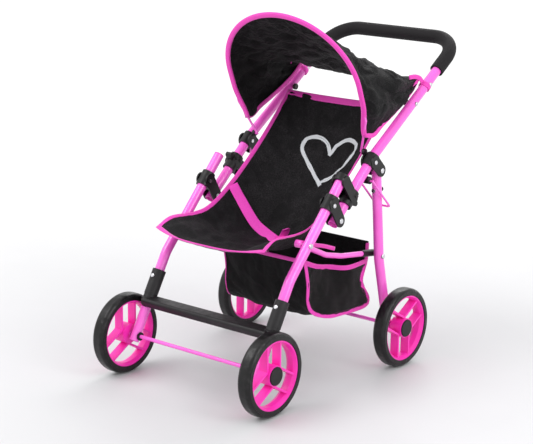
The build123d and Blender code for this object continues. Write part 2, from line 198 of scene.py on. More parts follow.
def crumple(obj, columns, height, size, hold=0.12, seed=0.0, stretch=(1.0, 1.0, 1.0), creases=0.6):
    """Push a grid of cloth in and out along its normals in soft folds and a few sharper creases.

    They die out at its edges.
    """
    rows = len(obj.data.vertices) // columns
    normals = [v.normal.copy() for v in obj.data.vertices]
    for index, vertex in enumerate(obj.data.vertices):
        row, column = divmod(index, columns)
        edge = min(row / (rows - 1), 1 - row / (rows - 1), column / (columns - 1), 1 - column / (columns - 1))
        place = Vector(vertex.co[i] * stretch[i] / size + seed for i in range(3))
        fold = noise.fractal(place, 0.9, 2.1, 3)
        crease = (1 - abs(noise.noise(place * 1.7))) ** 7
        vertex.co += normals[index] * height * (fold + creases * crease) * smooth(edge / hold)


def grid_row(obj, columns, row):
    return [obj.data.vertices[row * columns + j].co.copy() for j in range(columns)]


def grid_column(obj, columns, column):
    rows = len(obj.data.vertices) // columns
    return [obj.data.vertices[i * columns + column].co.copy() for i in range(rows)]


def thicken(obj):
    """Smooth a cloth grid and give it the cloth's thickness."""
    add_modifier(obj, "SUBSURF", levels=1, render_levels=1)
    add_modifier(obj, "SOLIDIFY", thickness=CLOTH_THICK, offset=0.0)
    apply_modifiers(obj)


def add_modifier(obj, kind, **settings):
    modifier = obj.modifiers.new(kind.lower(), kind)
    for key, value in settings.items():
        setattr(modifier, key, value)
    return modifier


def apply_modifiers(obj):
    graph = bpy.context.evaluated_depsgraph_get()
    mesh = bpy.data.meshes.new_from_object(obj.evaluated_get(graph))
    obj.modifiers.clear()
    old = obj.data
    obj.data = mesh
    bpy.data.meshes.remove(old)
    for face in mesh.polygons:
        face.use_smooth = True


def strip(name, centre, across, material, width, thickness=1.6 * MM, crown=0.25):
    """A tape along centre. across gives the direction of its width at each point, or one for all.

    A higher crown makes its section squarer and flatter on top.
    """
    count = len(centre)
    sides = across if isinstance(across, list) else [across] * count
    points, uvs, length = [], [], 0.0
    for i, place in enumerate(centre):
        if i:
            length += (place - centre[i - 1]).length
        tangent = (centre[min(i + 1, count - 1)] - centre[max(i - 1, 0)]).normalized()
        side = (sides[i] - sides[i].dot(tangent) * tangent).normalized()
        normal = tangent.cross(side).normalized()
        for k in range(STRIP_SIDES):
            angle = 2 * math.pi * k / STRIP_SIDES
            c, s = math.cos(angle), math.sin(angle)
            wide = math.copysign(abs(c) ** 0.6, c) * width / 2
            high = math.copysign(abs(s) ** (1 - crown), s) * thickness / 2
            points.append(place + side * wide + normal * high)
            uvs.append((length, 0.5 + wide / width))
    faces = grid_faces(count, STRIP_SIDES, closed=True)
    faces.append(tuple(range(STRIP_SIDES - 1, -1, -1)))
    faces.append(tuple(range((count - 1) * STRIP_SIDES, count * STRIP_SIDES)))
    return new_object(name, points, faces, material, uvs)


# Materials

class Nodes:
    """A short way to write a material's nodes."""

    def __init__(self, name):
        self.material = bpy.data.materials.new(name)
        self.material.use_nodes = True
        self.tree = self.material.node_tree
        self.shader = self.tree.nodes["Principled BSDF"]

    def add(self, kind, inputs=None, **settings):
        node = self.tree.nodes.new("ShaderNode" + kind)
        for key, value in settings.items():
            setattr(node, key, value)
        for key, value in (inputs or {}).items():
            self.plug(value, node.inputs[key])
        return node

    def plug(self, value, socket):
        if isinstance(value, bpy.types.NodeSocket):
            self.tree.links.new(value, socket)
        else:
            socket.default_value = value

    def math(self, operation, a, b=0.0):
        return self.add("Math", {0: a, 1: b}, operation=operation).outputs[0]

    def noise(self, place, scale, detail=3.0, roughness=0.5):
        return self.add("TexNoise", {"Vector": place, "Scale": scale, "Detail": detail,
                                     "Roughness": roughness}).outputs["Fac"]

    def range(self, value, low, high, to_low, to_high):
        return self.add("MapRange", {"Value": value, "From Min": low, "From Max": high,
                                     "To Min": to_low, "To Max": to_high}).outputs[0]

    def mix(self, factor, a, b):
        node = self.add("Mix", {"Factor": factor}, data_type="RGBA")
        self.plug(a, node.inputs["A_Color"] if "A_Color" in node.inputs else node.inputs[6])
        self.plug(b, node.inputs["B_Color"] if "B_Color" in node.inputs else node.inputs[7])
        return node.outputs[2]

    def bump(self, height, distance, strength=1.0):
        node = self.add("Bump", {"Height": height, "Distance": distance, "Strength": strength})
        self.plug(node.outputs[0], self.shader.inputs["Normal"])

    def set(self, **values):
        for key, value in values.items():
            self.plug(value, self.shader.inputs[key.replace("_", " ")])

    def object_place(self):
        return self.add("TexCoord").outputs["Object"]

    def uv(self):
        return self.add("TexCoord").outputs["UV"]


def colour(red, green, blue):
    """A linear colour from sRGB bytes."""
    def linear(byte):
        share = byte / 255
        return share / 12.92 if share <= 0.04045 else ((share + 0.055) / 1.055) ** 2.4
    return (linear(red), linear(green), linear(blue), 1.0)


PINK = colour(248, 104, 214)
PINK_DEEP = colour(226, 52, 178)
PINK_PLASTIC = colour(250, 52, 186)
PINK_TAPE = colour(232, 62, 182)
BLACK_CLOTH = colour(16, 15, 17)


def powder_coat(name, base, deep):
    """Glossy paint on steel, with faint clouds and a few duller scuffs."""
    n = Nodes(name)
    place = n.object_place()
    cloud = n.range(n.noise(place, 14.0), 0.35, 0.7, 0.0, 0.35)
    scuff = n.range(n.noise(place, 260.0, 6.0, 0.7), 0.66, 0.78, 0.0, 1.0)
    n.set(Base_Color=n.mix(cloud, base, deep))
    n.set(Roughness=n.range(scuff, 0.0, 1.0, 0.24, 0.42))
    n.set(Coat_Weight=0.5, Coat_Roughness=0.12, Specular_IOR_Level=0.55)
    n.bump(n.noise(place, 700.0, 2.0), 0.05 * MM, 0.35)
    return n.material


def moulded_plastic(name, base, deep, roughness, gloss=0.5):
    """Moulded plastic with a fine grain and slightly uneven gloss."""
    n = Nodes(name)
    place = n.object_place()
    patch = n.range(n.noise(place, 32.0, 4.0), 0.35, 0.7, 0.0, 0.6)
    n.set(Base_Color=n.mix(patch, base, deep))
    n.set(Roughness=n.range(n.noise(place, 120.0, 5.0), 0.3, 0.7, roughness - 0.06, roughness + 0.1))
    n.set(Specular_IOR_Level=gloss)
    n.bump(n.noise(place, 1500.0, 2.0), 0.06 * MM, 0.6)
    return n.material


def tyre_foam(name):
    """Black closed-cell foam: dents, a skin with a soft gloss, and a dustier tread."""
    n = Nodes(name)
    place = n.object_place()
    dents = n.noise(place, 55.0, 2.0, 0.4)
    cells = n.noise(place, 900.0, 3.0)
    dust = n.range(n.noise(place, 90.0, 6.0, 0.65), 0.5, 0.75, 0.0, 1.0)
    n.set(Base_Color=n.mix(dust, colour(13, 12, 13), colour(34, 31, 34)), Specular_IOR_Level=0.35)
    n.set(Roughness=n.range(dust, 0.0, 1.0, 0.30, 0.55))
    pits = n.range(n.noise(place, 30.0, 1.0, 0.3), 0.30, 0.40, 0.0, 1.0)
    hollows = n.math("ADD", dents, n.math("MULTIPLY", pits, 0.7))
    height = n.math("ADD", hollows, n.math("MULTIPLY", cells, 0.12))
    n.bump(height, 2.2 * MM, 0.6)
    return n.material


def grip_foam(name):
    """Matt black foam with fine slanting ribs."""
    n = Nodes(name)
    place = n.object_place()
    cells = n.noise(place, 1100.0, 4.0, 0.6)
    folds = n.noise(place, 70.0, 2.0)
    pale = n.range(cells, 0.4, 0.7, 0.0, 0.5)
    n.set(Base_Color=n.mix(pale, colour(24, 22, 24), colour(46, 43, 46)), Specular_IOR_Level=0.2)
    n.set(Roughness=n.range(cells, 0.3, 0.7, 0.58, 0.8))
    axes = n.add("SeparateXYZ", {0: place})
    diagonal = n.math("ADD", axes.outputs[0], n.math("ADD", axes.outputs[1], axes.outputs[2]))
    ribs = n.math("ABSOLUTE", n.math("SINE", n.math("MULTIPLY", diagonal, math.pi / (2.2 * MM))))
    shape = n.math("ADD", folds, n.math("MULTIPLY", ribs, 0.3))
    height = n.math("ADD", n.math("MULTIPLY", cells, 0.25), shape)
    n.bump(height, 0.8 * MM, 0.6)
    return n.material


def zinc_steel(name):
    """Bright plated steel with fine streaks."""
    n = Nodes(name)
    place = n.object_place()
    streak = n.noise(place, 420.0, 5.0, 0.7)
    n.set(Base_Color=n.mix(streak, colour(190, 190, 195), colour(232, 232, 236)))
    n.set(Metallic=1.0, Roughness=n.range(streak, 0.3, 0.7, 0.2, 0.4))
    n.bump(streak, 0.05 * MM, 0.4)
    return n.material


def threads(n, pitch):
    """The heights of warp and weft of a plain weave, from UV in metres."""
    uv = n.add("SeparateXYZ", {0: n.uv()})
    turn = 2 * math.pi / pitch
    u, v = n.math("MULTIPLY", uv.outputs[0], turn), n.math("MULTIPLY", uv.outputs[1], turn)
    warp = n.math("MULTIPLY", n.math("SINE", u), n.math("COSINE", n.math("MULTIPLY", v, 0.5)))
    weft = n.math("MULTIPLY", n.math("SINE", v), n.math("SINE", n.math("MULTIPLY", u, 0.5)))
    return n.math("MAXIMUM", n.math("ABSOLUTE", warp), n.math("ABSOLUTE", weft))


def woven_cloth(name, dark, painted_highlight_tone, crease):
    """Matt woven cloth with soft wrinkles and sharp creases in its bump; its colour carries painted highlights:
    pale glints of the weave and paler folds and creases.
    """
    n = Nodes(name)
    place = n.object_place()
    weave = threads(n, 1.1 * MM)
    fuzz = n.noise(place, 480.0, 5.0, 0.75)
    grain = n.noise(place, 900.0, 2.0, 0.8)
    # painted highlights: pale glints of the weave, painted into the colour
    painted_weave_glints = n.math("MULTIPLY", n.range(fuzz, 0.42, 0.62, 0.0, 1.0), n.range(grain, 0.4, 0.6, 0.35, 1.0))
    wrinkle = n.noise(place, 34.0, 3.0, 0.5)
    fold = n.noise(place, 17.0, 3.0, 0.55)
    off_crease = n.math("ABSOLUTE", n.math("SUBTRACT", fold, 0.5))
    ridge = n.math("MULTIPLY", n.range(off_crease, 0.0, 0.06, 1.0, 0.0), crease)
    # painted highlights: wrinkles and creases painted paler, as if catching the lamps
    painted_fold_highlight = n.math("ADD", n.range(wrinkle, 0.35, 0.7, 0.15, 0.85), n.math("MULTIPLY", ridge, 0.5))
    n.set(Base_Color=n.mix(n.math("MULTIPLY", painted_weave_glints, painted_fold_highlight), dark, painted_highlight_tone))
    n.set(Roughness=n.range(weave, 0.0, 1.0, 0.84, 0.64))
    n.set(Sheen_Weight=0.03, Sheen_Roughness=0.4, Specular_IOR_Level=0.16)
    folds = n.math("MULTIPLY", n.math("ADD", wrinkle, n.math("MULTIPLY", ridge, 0.6)), crease)
    fine = n.math("ADD", n.math("MULTIPLY", weave, 0.07), n.math("MULTIPLY", fuzz, 0.12))
    n.bump(n.math("ADD", folds, fine), 3.2 * MM, 0.75)
    return n.material


def net_cloth(name):
    """An open net: threads with clear holes between them."""
    n = Nodes(name)
    uv = n.add("SeparateXYZ", {0: n.uv()})
    turn = 2 * math.pi / (2.1 * MM)
    hole_u = n.math("SINE", n.math("MULTIPLY", n.math("ADD", uv.outputs[0], uv.outputs[1]), turn))
    hole_v = n.math("SINE", n.math("MULTIPLY", n.math("SUBTRACT", uv.outputs[0], uv.outputs[1]), turn))
    hole = n.math("MULTIPLY", hole_u, hole_v)
    n.set(Base_Color=n.mix(n.noise(n.object_place(), 300.0), colour(5, 5, 6), colour(22, 21, 21)))
    n.set(Specular_IOR_Level=0.15)
    n.set(Alpha=n.range(n.math("ABSOLUTE", hole), 0.62, 0.7, 1.0, 0.0), Roughness=0.6)
    n.set(Sheen_Weight=0.15)
    n.bump(hole, 0.3 * MM, 0.5)
    return n.material


def ribbed_tape(name, base=PINK_TAPE, deep=PINK_DEEP, stitched=True):
    """Woven tape with ribs across it and a line of stitches along each edge."""
    n = Nodes(name)
    uv = n.add("SeparateXYZ", {0: n.uv()})
    length, width = uv.outputs[0], uv.outputs[1]
    ribs = n.math("ABSOLUTE", n.math("SINE", n.math("MULTIPLY", length, math.pi / (0.9 * MM))))
    fuzz = n.noise(n.object_place(), 420.0, 4.0, 0.7)
    edge = n.math("ABSOLUTE", n.math("SUBTRACT", n.math("ABSOLUTE", n.math("SUBTRACT", width, 0.5)), 0.34))
    row = n.range(edge, 0.0, 0.05, 1.0, 0.0)
    dash = n.range(n.math("SINE", n.math("MULTIPLY", length, 2 * math.pi / (3.2 * MM))), -0.2, 0.2, 0.0, 1.0)
    stitch = n.math("MULTIPLY", row, dash) if stitched else 0.0
    tint = n.mix(n.range(fuzz, 0.3, 0.75, 0.0, 0.7), base, deep)
    n.set(Base_Color=n.mix(n.math("MULTIPLY", stitch, 0.6), tint, colour(255, 120, 222)))
    n.set(Roughness=n.range(ribs, 0.0, 1.0, 0.75, 0.5), Sheen_Weight=0.25, Sheen_Roughness=0.4)
    seam = n.math("SUBTRACT", stitch, n.math("MULTIPLY", row, 0.8))
    height = n.math("ADD", n.math("MULTIPLY", ribs, 0.35), seam)
    n.bump(n.math("ADD", height, n.math("MULTIPLY", fuzz, 0.5)), 0.35 * MM, 0.7)
    return n.material


def brushed_print(name):
    """Pale grey paint dragged on with a dry brush."""
    n = Nodes(name)
    stretched = n.add("Mapping", {"Vector": n.uv(), "Scale": (14.0, 900.0, 1.0)}).outputs[0]
    streak = n.noise(stretched, 1.0, 4.0, 0.7)
    across = n.add("SeparateXYZ", {0: n.uv()}).outputs[1]
    centre = n.math("ABSOLUTE", n.math("SUBTRACT", n.math("MULTIPLY", across, 1 / PRINT_WIDE), 0.5))
    cover = n.math("SUBTRACT", n.range(streak, 0.32, 0.44, 0.0, 1.0), n.range(centre, 0.32, 0.5, 0.0, 0.55))
    n.set(Base_Color=n.mix(streak, colour(176, 181, 186), colour(226, 229, 232)))
    n.set(Alpha=n.range(cover, 0.2, 0.5, 0.0, 1.0), Roughness=0.6)
    n.bump(streak, 0.2 * MM, 0.5)
    return n.material


pink_tube = powder_coat("pink_powder_coat", PINK, PINK_DEEP)
pink_plastic = moulded_plastic("pink_moulding", PINK_PLASTIC, colour(236, 36, 168), 0.34)
black_plastic = moulded_plastic("black_moulding", colour(13, 12, 13), colour(24, 23, 25), 0.40, 0.35)
footrest_plastic = moulded_plastic("footrest_moulding", colour(22, 20, 22), colour(36, 34, 37), 0.46, 0.35)
tyre = tyre_foam("tyre_foam")
grip = grip_foam("grip_foam")
steel = zinc_steel("zinc_steel")
# the second colour of each cloth is the painted highlight tone of its glints, folds and creases
seat_cloth = woven_cloth("seat_cloth", colour(14, 13, 15), colour(58, 55, 58), crease=0.6)
hood_cloth = woven_cloth("hood_cloth", colour(10, 10, 11), colour(52, 49, 52), crease=1.3)
bag_cloth = woven_cloth("bag_cloth", colour(10, 10, 11), colour(28, 27, 29), crease=0.8)
bag_net = net_cloth("bag_net")
tape = ribbed_tape("pink_tape")
webbing = ribbed_tape("pink_webbing", base=colour(248, 66, 200), stitched=False)
black_webbing = ribbed_tape("black_webbing", base=BLACK_CLOTH, deep=colour(14, 14, 15), stitched=False)
print_paint = brushed_print("heart_print")


def finish_cad_nodes():
    """Give each CAD node that stays in view its material."""
    by_slot = {"pink_tube": pink_tube, "pink_plastic": pink_plastic, "black_plastic": black_plastic,
               "foam_tyre": tyre, "foam_grip": grip, "zinc_steel": steel, "black_fabric": seat_cloth,
               "pink_webbing": webbing}
    for part in frame["record"]["subparts"]:
        obj = frame["nodes"][part["node"]]
        chosen = footrest_plastic if part["node"] == "footrest" else by_slot[part["material_slot"]]
        obj.data.materials.clear()
        obj.data.materials.append(chosen)


# Seat: one sling of cloth from the front lip to the top of the backrest

SEAT_COLUMNS = 49
SEAT_ROWS = 81


def seat_edge_knots():
    """The sling's left edge: level along the pan, then straight up in front of the handle tube."""
    half, lip, top = SEAT_HIGH.x, SEAT_LOW.y, BACK_HIGH
    y, z = FOLD.y, FOLD.z
    return [(half + 0.006, lip + 0.018, SEAT_HIGH.z + 0.001), (half + 0.004, lip + 0.048, z - 0.012),
            (half + 0.002, lip + 0.084, z - 0.013), (half + 0.001, y - 0.070, z - 0.014),
            (half + 0.001, y - 0.040, z - 0.010), (half + 0.001, y - 0.002, z + 0.008),
            (half, y + 0.049, z + 0.045), (half, y + 0.113, z + 0.100),
            (half, top.y + 0.003, top.z + 0.004)]


def seat_middle_knots():
    """The sling's middle line: down the pan to the crease, then up the hanging backrest."""
    lip, crease, top = SEAT_LOW.y, SEAT_HIGH.y, BACK_HIGH
    low = SEAT_LOW.z
    return [(0, lip + 0.003, SEAT_HIGH.z - 0.006), (0, lip + 0.067, low + 0.022),
            (0, lip + 0.137, low + 0.008), (0, crease - 0.024, low + 0.003),
            (0, crease + 0.006, low + 0.012), (0, crease + 0.036, low + 0.052),
            (0, crease + 0.084, low + 0.124), (0, top.y - 0.012, top.z - 0.010),
            (0, top.y - 0.003, top.z + 0.003)]


def seat_rows():
    edge = curve_points(seat_edge_knots(), SEAT_ROWS)
    middle = curve_points(seat_middle_knots(), SEAT_ROWS)
    rows = []
    for e, m in zip(edge, middle):
        row = []
        for j in range(SEAT_COLUMNS):
            share = 2 * j / (SEAT_COLUMNS - 1) - 1
            deep = 1 - abs(share) ** 2.8
            row.append(Vector((share * e.x, e.y + (m.y - e.y) * deep, e.z + (m.z - e.z) * deep)))
        rows.append(row)
    return rows


def make_seat():
    rows = seat_rows()
    seat = cloth_grid("sling_seat", rows, seat_cloth)
    last = SEAT_ROWS - 1

    def held(index):
        row, column = divmod(index, SEAT_COLUMNS)
        return column in (0, SEAT_COLUMNS - 1) or row in (0, last)

    settle(seat, held, slack=0.015, gravity=0.25, cap=0.008)
    crumple(seat, SEAT_COLUMNS, 4.2 * MM, 0.050, stretch=(1.0, 0.6, 0.8), creases=0.7)
    outline = seat_outline(seat)
    surface = [grid_row(seat, SEAT_COLUMNS, i) for i in range(SEAT_ROWS)]
    thicken(seat)
    pieces = [seat] + seat_tapes(outline) + [make_heart(surface)] + make_harness(surface)
    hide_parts("seat_pan", "backrest")
    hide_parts("harness_strap", "buckle")
    for piece in pieces:
        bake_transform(piece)


def seat_outline(seat):
    """The four edges of the sling, each with the directions that point into the cloth."""
    last_row, last_column = SEAT_ROWS - 1, SEAT_COLUMNS - 1

    def inward(edge, inner):
        return edge, [(b - a).normalized() for a, b in zip(edge, inner)]

    return {
        "front": inward(grid_row(seat, SEAT_COLUMNS, 0), grid_row(seat, SEAT_COLUMNS, 2)),
        "top": inward(grid_row(seat, SEAT_COLUMNS, last_row), grid_row(seat, SEAT_COLUMNS, last_row - 2)),
        "right": inward(grid_column(seat, SEAT_COLUMNS, 0), grid_column(seat, SEAT_COLUMNS, 2)),
        "left": inward(grid_column(seat, SEAT_COLUMNS, last_column),
                       grid_column(seat, SEAT_COLUMNS, last_column - 2)),
    }


def edge_tape(name, edge, inward, width, material=None, thickness=2.6 * MM):
    """Binding tape folded over the edge of a cloth, or a hem in the cloth's own material."""
    count = max(24, int(path_length(edge) / (4 * MM)))
    line = resampled([p + d * (width / 2 - 1.2 * MM) for p, d in zip(edge, inward)], count)
    piece = strip(name, line, resampled_ways(inward, count), material or tape, width, thickness)
    return piece


def resampled_ways(ways, count):
    """count directions, blended between the given ones."""
    old, new = np.linspace(0, 1, len(ways)), np.linspace(0, 1, count)
    columns = [np.interp(new, old, [way[i] for way in ways]) for i in range(3)]
    return [Vector(way).normalized() for way in np.array(columns).T]


def seat_tapes(outline):
    widths = {"front": 8 * MM, "top": 12 * MM, "right": 7.5 * MM, "left": 7.5 * MM}
    tapes = [edge_tape(f"seat_binding_{name}", *outline[name], widths[name]) for name in outline]
    for side, name in ((1, "left"), (-1, "right")):
        x = side * (SEAT_HIGH.x + 1 * MM)
        route = [(x, FOLD.y - 0.060, FOLD.z - 0.030),
                 (x - side * 0.003, FOLD.y - 0.020, FOLD.z - 0.043),
                 (x - side * 0.005, FOLD.y + 0.010, FOLD.z - 0.0515),
                 (x - side * 0.006, FOLD.y + 0.040, FOLD.z - 0.062)]
        upright = Vector((0, 0.3, 1))
        welt = strip(f"seat_welt_{name}", curve_points(route, 30), upright, tape, 7 * MM, 2.4 * MM)
        tapes.append(welt)
    return tapes


def on_cloth(rows, across, along, lift=0.0):
    """A point of the cloth, lifted off it, and its normal. across and along are shares of its size."""
    r, c = along * (len(rows) - 1), across * (len(rows[0]) - 1)
    i, j = min(int(r), len(rows) - 2), min(int(c), len(rows[0]) - 2)
    a, b = r - i, c - j
    p00, p01, p10, p11 = rows[i][j], rows[i][j + 1], rows[i + 1][j], rows[i + 1][j + 1]
    place = (p00 * (1 - a) + p10 * a) * (1 - b) + (p01 * (1 - a) + p11 * a) * b
    normal = (p01 - p00).cross(p10 - p00).normalized()
    normal = normal if normal.z > 0 else -normal
    return place + normal * lift, normal


# The heart's two strokes, in half widths and half heights from its middle
HEART_LEFT = [(0.12, -1.02), (-0.30, -0.55), (-0.72, -0.02), (-0.98, 0.38),
              (-0.92, 0.80), (-0.55, 0.98), (-0.18, 0.78), (0.04, 0.34)]
HEART_RIGHT = [(0.02, 0.30), (0.20, 0.72), (0.54, 0.98), (0.90, 0.80),
               (1.0, 0.36), (0.72, -0.18), (0.34, -0.66), (0.03, -0.92)]
HEART_HALF = (0.0585, 0.044)       # half its width and height
HEART_AT = (0.593, 0.757)          # its middle, as shares of the sling's width and length
HEART_BRUSH = 7.2 * MM
HEART_LANES = 7                    # points across a stroke


def make_heart(rows):
    """A heart outline in two brush strokes on the backrest, a little uneven as if drawn by hand."""
    width, length = 2 * SEAT_HIGH.x, path_length([row[SEAT_COLUMNS // 2] for row in rows])
    lift = 1.1 * MM
    points, uvs, faces = [], [], []
    for stroke in (HEART_LEFT, HEART_RIGHT):
        outline = curve_points([(x, z, 0) for x, z in stroke], 90)
        first, run = len(points), 0.0
        for i, spot in enumerate(outline):
            before, after = outline[max(i - 1, 0)], outline[min(i + 1, len(outline) - 1)]
            way = (after - before).normalized()
            run += (spot - before).length * HEART_HALF[0]
            wobble = 1 + 0.22 * noise.noise(Vector((run * 60, first, 0)))
            for k in range(HEART_LANES):
                share = k / (HEART_LANES - 1)
                offset = (share - 0.5) * HEART_BRUSH * wobble
                x = spot.x * HEART_HALF[0] - way.y * offset
                z = spot.y * HEART_HALF[1] + way.x * offset
                place, _ = on_cloth(rows, HEART_AT[0] + x / width, HEART_AT[1] + z / length, lift)
                points.append(place)
                uvs.append((run, share * PRINT_WIDE))
        faces += [tuple(first + index for index in face) for face in grid_faces(len(outline), HEART_LANES)]
        lift += 0.15 * MM
    return new_object("heart_print", points, faces, print_paint, uvs)


def make_harness(rows):
    """A wide strap from the seat's right edge to the buckle in the crease, and the buckle's own webs."""
    def route(shares, count=30):
        """A line over the cloth through (share across, share along, extra height) places."""
        spots = [on_cloth(rows, across, along, 1.6 * MM + extra)[0] for across, along, extra in shares]
        return curve_points(spots, count)

    shoulder = route([(0.012, 0.475, 0), (0.09, 0.462, 0.001), (0.22, 0.443, 0.004), (0.34, 0.43, 0.003),
                      (0.46, 0.418, 0.001)])
    lap = route([(0.60, 0.408, 0.001), (0.72, 0.415, 0.006), (0.86, 0.425, 0.005), (0.975, 0.44, 0.001)])
    under = route([(0.43, 0.425, 0), (0.50, 0.42, 0.001), (0.56, 0.415, 0.001), (0.62, 0.41, 0)])
    block = route([(0.49, 0.405, 0.003), (0.53, 0.405, 0.004), (0.585, 0.40, 0.003)], count=14)
    tongue = route([(0.525, 0.412, 0.004), (0.545, 0.425, 0.012), (0.575, 0.43, 0.022),
                    (0.60, 0.44, 0.025)], count=16)
    up = Vector((0.0, 0.75, 0.66))
    pieces = [strip("harness_strap_far", shoulder, up, webbing, 19 * MM, 1.8 * MM),
              strip("harness_strap_near", lap, up, webbing, 5 * MM, 1.6 * MM),
              strip("buckle_web", under, up, black_webbing, 16 * MM, 1.8 * MM),
              strip("buckle_tongue", tongue, Vector((0.5, 0.3, 0.2)), webbing, 13 * MM, 1.8 * MM),
              strip("buckle_block", block, up, pink_plastic, 17 * MM, 6 * MM, crown=0.5)]
    return pieces


# The front of each lock's collar, round the top of the leg

COLLAR_WIDE = 14 * MM
COLLAR_WALL = 3.4 * MM
COLLAR_GAP = 0.4 * MM          # between the tube and the collar
COLLAR_LIFT = 1 * MM           # from the middle of the leg's plug up to the middle of the collar


def leg_plug(side):
    """The middle of the plug in the front leg's top end, and the way up along the leg."""
    screw_low, screw_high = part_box("leg_bracket_screws")
    plug_low, plug_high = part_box("leg_top_plugs")
    screw = Vector((0, (screw_low.y + screw_high.y) / 2, (screw_low.z + screw_high.z) / 2))
    plug = Vector((0, (plug_low.y + plug_high.y) / 2, (plug_low.z + plug_high.z) / 2))
    up = (plug - screw).normalized()
    return plug + Vector((side * FRAME_X, 0, 0)), up


def make_lock_collars():
    """A half ring that closes each collar at the front. The right lock is raised and turned half round."""
    for name, side in (("left", 1), ("right", -1)):
        plug, up = leg_plug(side)
        forward = Vector((1, 0, 0)).cross(up)
        forward = forward if forward.y < 0 else -forward
        radius = TUBE_R + COLLAR_GAP + COLLAR_WALL / 2
        arc = []
        for k in range(25):
            angle = math.pi * (k / 24 - 0.5)
            way = forward * math.cos(angle) + Vector((1, 0, 0)) * math.sin(angle)
            arc.append(plug + up * COLLAR_LIFT + way * radius)
        if side < 0:
            travel = joints["right_lock_slide"]["range_m"]
            raised = HANDLE_DIR * (travel[1] - travel[0])
            turn = Matrix.Rotation(math.pi, 3, HANDLE_DIR)
            pivot = Vector((side * FRAME_X, FOLD.y, FOLD.z))
            arc = [pivot + turn @ (p - pivot) + raised for p in arc]
            up = turn @ up
        collar = strip(f"{name}_lock_collar", arc, up, black_plastic, COLLAR_WIDE, COLLAR_WALL, crown=0.55)
        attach(collar, f"{name}_lock")


# Canopy

HOOD_COLUMNS = 97
HOOD_ROWS = 33
HOOD_CORNER = 0.19        # the share of the hoop at each side that reaches down to the tube


def hoop_spot(x, height):
    """A point of the canopy's front hoop plane, height above the hoop's pivots."""
    pivot, top = Vector((0, CANOPY.y, CANOPY.z)), Vector((0, HOOD_LOW.y, HOOD_HIGH.z))
    return Vector((x, 0, 0)) + pivot + (top - pivot).normalized() * height


def hoop_line():
    """The front edge of the hood, from its right foot over the crown to its left foot."""
    half, crown_steps, side_steps = HOOD_HIGH.x, 48, 12
    top = (Vector((HOOD_LOW.y, HOOD_HIGH.z)) - Vector((CANOPY.y, CANOPY.z))).length
    foot, shoulder = 0.125 * top, 0.50 * top
    side = [hoop_spot(-half * (0.92 + 0.08 * smooth(k / 8)), foot + (shoulder - foot) * k / side_steps)
            for k in range(side_steps)]
    crown = []
    for k in range(crown_steps + 1):
        angle = math.pi * (1 - k / crown_steps)
        crown.append(hoop_spot(half * math.cos(angle), shoulder + (top - shoulder) * math.sin(angle)))
    return resampled(side + crown + [Vector((-p.x, p.y, p.z)) for p in reversed(side)], HOOD_COLUMNS)


def hoop_inward(front):
    """For each point of the front edge, the way towards the wire, in the hoop's plane."""
    out_of_plane = (hoop_spot(0, 1) - hoop_spot(0, 0)).cross(Vector((1, 0, 0))).normalized()
    ways = []
    for i in range(len(front)):
        tangent = front[min(i + 1, len(front) - 1)] - front[max(i - 1, 0)]
        way = tangent.cross(out_of_plane).normalized()
        ways.append(way if way.dot(hoop_spot(0, 0.1) - front[i]) > 0 else -way)
    return ways


def hood_edge_knots():
    """The hood's left lower edge: round the hoop's foot, then just above the handle tube."""
    x, y, z = SEAT_HIGH.x + 0.021, CANOPY.y, CANOPY.z
    return [(x, y - 0.011, z + 0.029), (x + 0.002, y + 0.010, z + 0.027), (x + 0.002, y + 0.032, z + 0.040),
            (x + 0.001, y + 0.062, z + 0.054), (x, y + 0.092, z + 0.069), (x - 0.001, y + 0.122, z + 0.087),
            (x - 0.002, y + 0.143, z + 0.106)]


def hood_rows():
    """The cloth from the hoop to a nearly straight rear edge, its sides reaching down to the tubes."""
    front = hoop_line()
    left_edge = curve_points(hood_edge_knots(), HOOD_ROWS)
    right_edge = [Vector((-p.x, p.y, p.z)) for p in left_edge]
    rear_half, rear_y, rear_z = left_edge[-1].x, HOOD_HIGH.y - 0.002, CANOPY.z + 0.112
    rows = []
    for i in range(HOOD_ROWS):
        depth = i / (HOOD_ROWS - 1)
        row = []
        for j, start in enumerate(front):
            share = j / (HOOD_COLUMNS - 1)
            inner = min(1.0, max(0.0, (share - HOOD_CORNER) / (1 - 2 * HOOD_CORNER)))
            side = smooth(1 - min(1.0, min(share, 1 - share) / HOOD_CORNER))
            edge = left_edge if share > 0.5 else right_edge
            end = Vector((rear_half * (2 * inner - 1), rear_y, rear_z - 0.010 * math.sin(math.pi * inner)))
            end = end.lerp(edge[-1], side)
            place = start.lerp(end, depth)
            foot = front[-1] if share > 0.5 else front[0]
            place += (edge[i] - foot.lerp(edge[-1], depth)) * side
            place.z += math.sin(math.pi * depth) * 0.009 * (1 - side)
            row.append(place)
        rows.append(row)
    return rows


def make_canopy():
    hood = cloth_grid("hood", hood_rows(), hood_cloth)

    def held(index):
        row, column = divmod(index, HOOD_COLUMNS)
        return row in (0, 1, HOOD_ROWS - 1) or column in (0, HOOD_COLUMNS - 1)

    settle(hood, held, slack=0.04, gravity=0.4, cap=0.012)
    crumple(hood, HOOD_COLUMNS, 7.5 * MM, 0.048, hold=0.14, seed=3.0, stretch=(0.9, 0.6, 1.2), creases=1.0)
    last = HOOD_COLUMNS - 1
    front = grid_row(hood, HOOD_COLUMNS, 0)
    inward = hoop_inward(front)
    up = [Vector((0, -0.5, 0.87))] * HOOD_ROWS
    edges = {"front": (front, inward, 9.5 * MM, None, 5.2 * MM),
             "right": (grid_column(hood, HOOD_COLUMNS, 0), up, 8 * MM),
             "left": (grid_column(hood, HOOD_COLUMNS, last), up, 8 * MM)}
    thicken(hood)
    pieces = [hood] + [edge_tape(f"hood_binding_{name}", *edge) for name, edge in edges.items()]
    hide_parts("canopy_fabric")
    for piece in pieces:
        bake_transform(piece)
    for side, name in ((1, "left"), (-1, "right")):
        make_canopy_tie(side, name)


